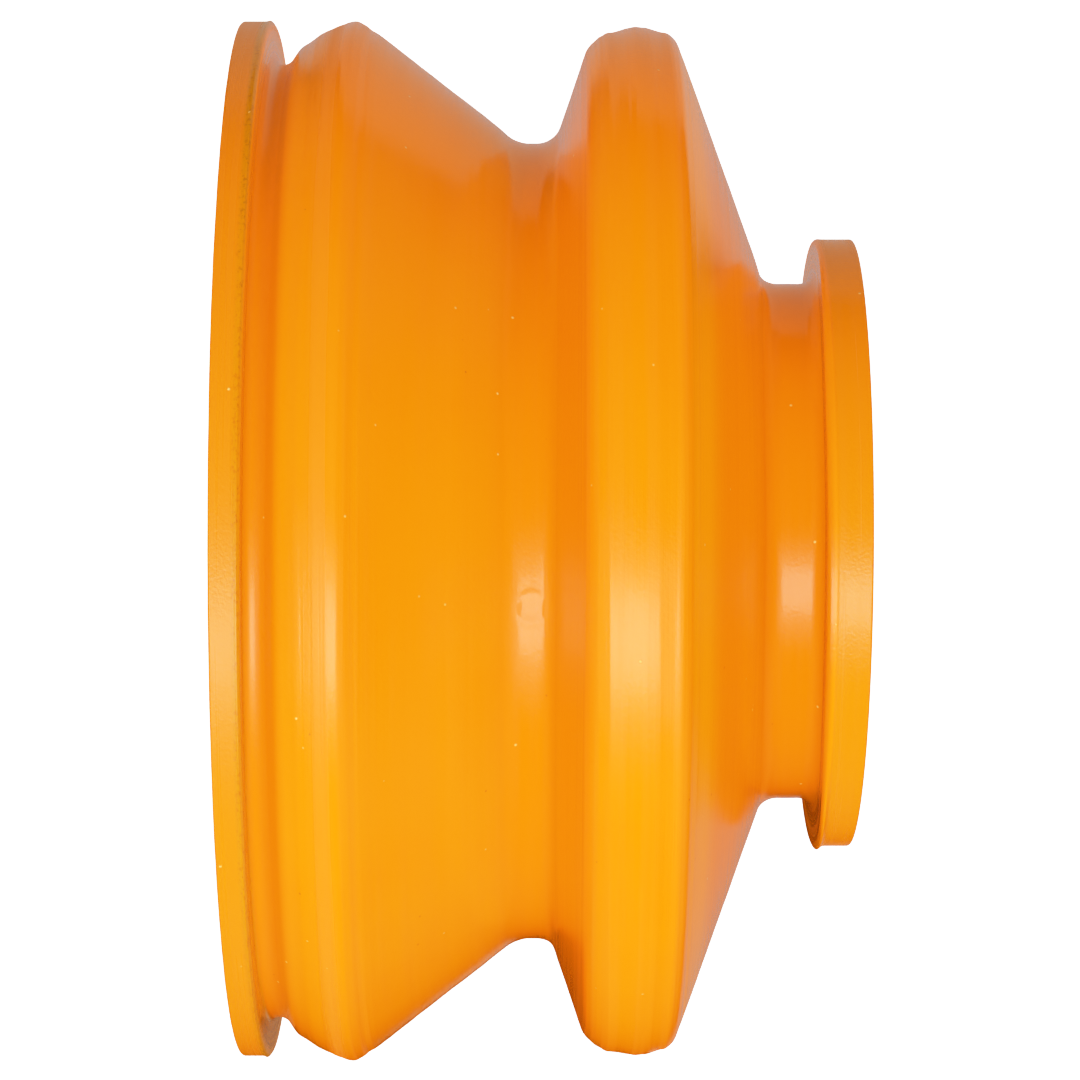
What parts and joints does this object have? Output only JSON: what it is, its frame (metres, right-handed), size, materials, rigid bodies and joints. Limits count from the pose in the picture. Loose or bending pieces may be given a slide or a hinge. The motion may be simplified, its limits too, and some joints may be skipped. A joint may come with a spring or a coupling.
{
  "type": "bellows dust boot",
  "caption": "Hollow moulded bellows dust boot with a wide lip and ring groove at one end, a long cone, a rounded rib and a grooved neck and lip at the other end.",
  "frame": {"origin": "centre of the flat face of the large end, at the bottom of the boot", "axes": "+Z along the boot's axis from the large end to the small end; X and Y are any two directions across it"},
  "size_m": [0.044, 0.044, 0.0256],
  "materials": {
    "moulded_polyurethane": "satin"
  },
  "bodies": {
    "large_cuff": {"large_end_lip": "moulded_polyurethane", "large_end_cuff": "moulded_polyurethane"},
    "first_crest": {"shoulder_wall": "moulded_polyurethane", "first_crest_ring": "moulded_polyurethane"},
    "mid_flank": {"upper_flank_wall": "moulded_polyurethane", "mid_flank_ring": "moulded_polyurethane"},
    "valley": {"lower_flank_wall": "moulded_polyurethane", "valley_ring": "moulded_polyurethane"},
    "rib_crown": {"rib_rear_wall": "moulded_polyurethane", "rib_crown_ring": "moulded_polyurethane"},
    "front_cone": {"rib_front_wall": "moulded_polyurethane", "front_cone_ring": "moulded_polyurethane"},
    "small_cuff": {"neck_cone_wall": "moulded_polyurethane", "neck_cuff": "moulded_polyurethane", "small_end_lip": "moulded_polyurethane"}
  },
  "joints": [
    {"name": "stroke", "type": "slide", "parent": "large_cuff", "child": "first_crest", "axis": [0, 0, 1], "range_m": [-0.001, 0.0008], "stiffness_N_per_m": 1000, "deforming": ["shoulder_wall"]},
    {"name": "lean_about_x", "type": "hinge", "parent": "first_crest", "child": "mid_flank", "pos_m": [0, 0, 0.00665], "axis": [1, 0, 0], "range_deg": [-3.5, 3.5], "stiffness_Nm_per_rad": 0.3, "deforming": ["upper_flank_wall"]},
    {"name": "lean_about_y", "type": "hinge", "parent": "mid_flank", "child": "valley", "pos_m": [0, 0, 0.0102], "axis": [0, 1, 0], "range_deg": [-3.5, 3.5], "stiffness_Nm_per_rad": 0.3, "deforming": ["lower_flank_wall"]},
    {"name": "rib_lean_about_x", "type": "hinge", "parent": "valley", "child": "rib_crown", "pos_m": [0, 0, 0.01415], "axis": [1, 0, 0], "range_deg": [-3, 3], "stiffness_Nm_per_rad": 0.3, "deforming": ["rib_rear_wall"]},
    {"name": "rib_stroke", "type": "slide", "parent": "rib_crown", "child": "front_cone", "axis": [0, 0, 1], "range_m": [-0.00075, 0.0006], "stiffness_N_per_m": 1000, "deforming": ["rib_front_wall"]},
    {"name": "neck_lean_about_y", "type": "hinge", "parent": "front_cone", "child": "small_cuff", "pos_m": [0, 0, 0.02015], "axis": [0, 1, 0], "range_deg": [-3, 3], "stiffness_Nm_per_rad": 0.3, "deforming": ["neck_cone_wall"]}
  ],
  "couplings": [
    {"joint": "rib_stroke", "follows": "stroke", "ratio": 0.75},
    {"joint": "rib_lean_about_x", "follows": "lean_about_x", "ratio": 0.85},
    {"joint": "neck_lean_about_y", "follows": "lean_about_y", "ratio": 0.85}
  ]
}
